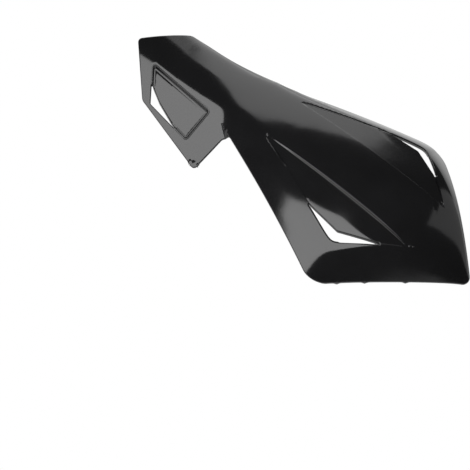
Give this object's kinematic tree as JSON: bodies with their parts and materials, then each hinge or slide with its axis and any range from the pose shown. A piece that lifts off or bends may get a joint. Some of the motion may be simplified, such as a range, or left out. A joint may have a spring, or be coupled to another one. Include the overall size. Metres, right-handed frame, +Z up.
{
  "type": "motorcycle hand guard",
  "caption": "Glossy moulded hand guard for a motorcycle handlebar: a domed shield with slotted vent ramps, a folded flap with a recessed opening, and a rear arm with a bolt hole.",
  "frame": {"origin": "centre of the bolt hole in the rear arm, halfway through its boss", "axes": "+X outboard along the handlebar to the shield's tip, -Y forward out of the shield's face, +Z up, which is also the bolt hole's axis"},
  "size_m": [0.2914, 0.0715, 0.1378],
  "materials": {
    "gloss_black_plastic": "glossy black injection moulding"
  },
  "bodies": {
    "root": {"hand_guard": "gloss_black_plastic"}
  },
  "joints": []
}
